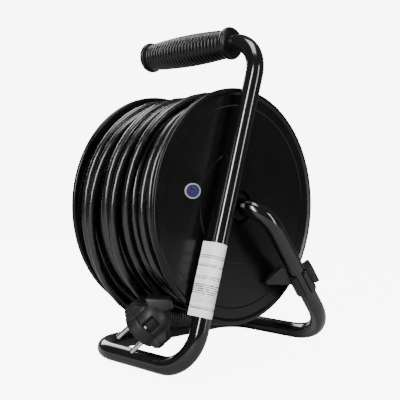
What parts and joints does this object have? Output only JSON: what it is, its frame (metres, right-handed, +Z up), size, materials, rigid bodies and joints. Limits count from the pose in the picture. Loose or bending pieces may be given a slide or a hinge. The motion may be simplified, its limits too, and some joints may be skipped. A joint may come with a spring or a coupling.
{
  "type": "extension cord reel",
  "caption": "Cord reel: a moulded drum with earthed sockets and wound cord, turning on a bent steel tube stand with a rubber handle grip.",
  "frame": {"origin": "on the floor, straight below the middle of the drum", "axes": "+Z up; the axle lies along Y, with the sockets facing -Y and the stand's mast and leg at +Y; +X towards the mast's foot"},
  "size_m": [0.2685, 0.197, 0.3485],
  "materials": {
    "steel_black": "satin",
    "drum_black": "semi-gloss",
    "panel_black": "fine texture",
    "grip_rubber": "matte",
    "cord_pvc": "glossy",
    "plug_rubber": "satin",
    "pin_nickel": "satin",
    "brass": "satin",
    "zinc": "satin",
    "label_paper": "matte",
    "badge_blue": "gloss",
    "badge_white": "gloss",
    "button_red": "satin",
    "brake_plastic": "satin",
    "bush_plastic": "satin",
    "wire_brown": "satin",
    "wire_blue": "satin",
    "wire_earth": "satin"
  },
  "bodies": {
    "stand": {"frame_tube": "steel_black", "handle_grip": "grip_rubber", "rating_label": "label_paper", "axle_collar": "steel_black", "axle_end_plug": "zinc", "retaining_washer": "zinc", "retaining_screw": "zinc", "cable_tail": "cord_pvc", "plug_body": "plug_rubber", "plug_pins": "pin_nickel", "plug_earth_contacts": "pin_nickel", "plug_strain_relief": "plug_rubber"},
    "drum": {"rear_flange": "drum_black", "front_flange": "drum_black", "hub_bush_rear": "bush_plastic", "hub_bush_front": "bush_plastic", "core_screws": "zinc", "badge_rim": "badge_white", "badge_face": "badge_blue", "socket_panel": "panel_black", "panel_screws": "zinc", "live_contact_ring": "brass", "neutral_contact_ring": "brass", "earth_ring": "brass", "thermal_cutout": "panel_black", "cutout_tabs": "brass", "reset_spring": "zinc", "knob_pin": "zinc", "cable_winding": "cord_pvc", "cable_grommet": "grip_rubber", "cable_inner_end": "cord_pvc", "cable_clamp": "panel_black", "clamp_screws": "zinc", "conductor_live": "wire_brown", "cutout_jumper": "wire_brown", "conductor_neutral": "wire_blue", "conductor_earth": "wire_earth", "socket_insert_1": "panel_black", "earth_clip_1": "zinc", "socket_insert_2": "panel_black", "earth_clip_2": "zinc", "socket_insert_3": "panel_black", "earth_clip_3": "zinc", "socket_insert_4": "panel_black", "earth_clip_4": "zinc"},
    "knob": {"winding_knob": "panel_black", "knob_cap": "panel_black"},
    "reset": {"reset_button": "button_red"},
    "brake": {"drum_brake": "brake_plastic"}
  },
  "joints": [
    {"name": "drum_spin", "type": "hinge", "parent": "stand", "child": "drum", "pos_m": [0, 0, 0.16], "axis": [0, 1, 0], "continuous": true},
    {"name": "knob_spin", "type": "hinge", "parent": "drum", "child": "knob", "pos_m": [-0.06364, -0.08, 0.22364], "axis": [0, 1, 0], "continuous": true},
    {"name": "reset_press", "type": "slide", "parent": "drum", "child": "reset", "axis": [0, 1, 0], "range_m": [0, 0.002], "stiffness_N_per_m": 300},
    {"name": "brake_swing", "type": "hinge", "parent": "stand", "child": "brake", "pos_m": [-0.06975, 0.084, 0.0845], "axis": [0.6765, 0.0776, 0.7323], "range_deg": [0, 75]}
  ]
}
